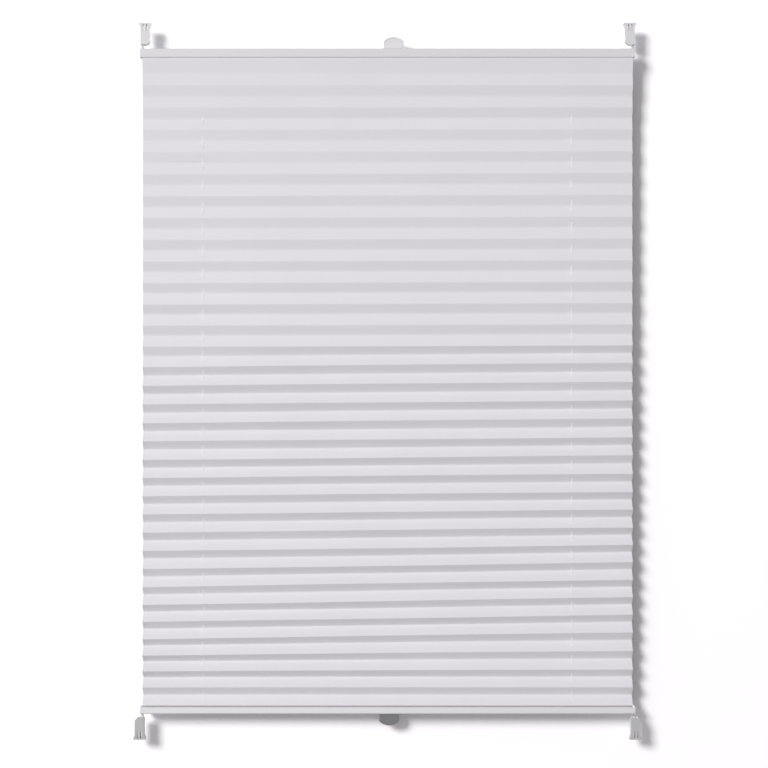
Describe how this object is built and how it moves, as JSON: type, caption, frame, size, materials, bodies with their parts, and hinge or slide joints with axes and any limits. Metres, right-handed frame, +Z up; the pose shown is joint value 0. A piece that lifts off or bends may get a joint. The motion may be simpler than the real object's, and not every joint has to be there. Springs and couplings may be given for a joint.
{
  "type": "pleated blind",
  "caption": "White pleated window blind: a folded cloth between a top and a bottom rail that slide on taut cords, held by small screw-on tension shoes.",
  "frame": {"origin": "midway between the screw holes of the two upper shoes, on the face of their feet", "axes": "+Z up, +X to the right along the rails, -Y towards the room"},
  "size_m": [0.9316, 0.021, 1.3132],
  "materials": {
    "pleated_cloth": "fine plain weave, pressed into pleats",
    "rail_coating": "white powder coat, semi-matt",
    "rail_plastic": "moulded white, fine satin",
    "shoe_plastic": "moulded white, fine satin",
    "cord": "braided white",
    "steel": "plain wire and crimped sleeve"
  },
  "bodies": {
    "shoes_and_cloth": {"upper_left_shoe": "shoe_plastic", "upper_right_shoe": "shoe_plastic", "lower_left_shoe": "shoe_plastic", "lower_right_shoe": "shoe_plastic", "upper_left_cord_stop": "steel", "upper_right_cord_stop": "steel", "lower_left_cord_stop": "steel", "lower_right_cord_stop": "steel", "lower_left_tension_spring": "steel", "lower_right_tension_spring": "steel", "left_cord": "cord", "right_cord": "cord", "pleated_fabric": "pleated_cloth"},
    "top_rail_set": {"top_rail": "rail_coating", "top_left_end_cap": "rail_plastic", "top_right_end_cap": "rail_plastic", "top_left_cord_guide": "rail_plastic", "top_right_cord_guide": "rail_plastic", "top_fabric_strip": "rail_plastic", "top_handle": "rail_plastic"},
    "bottom_rail_set": {"bottom_rail": "rail_coating", "bottom_left_end_cap": "rail_plastic", "bottom_right_end_cap": "rail_plastic", "bottom_left_cord_guide": "rail_plastic", "bottom_right_cord_guide": "rail_plastic", "bottom_fabric_strip": "rail_plastic", "bottom_handle": "rail_plastic"}
  },
  "joints": [
    {"name": "top_rail_slide", "type": "slide", "parent": "shoes_and_cloth", "child": "top_rail_set", "axis": [0, 0, 1], "range_m": [-0.576, 0], "deforming": ["pleated_fabric", "left_cord", "right_cord"]},
    {"name": "bottom_rail_slide", "type": "slide", "parent": "shoes_and_cloth", "child": "bottom_rail_set", "axis": [0, 0, 1], "range_m": [0, 0.565], "deforming": ["pleated_fabric", "left_cord", "right_cord"]}
  ]
}
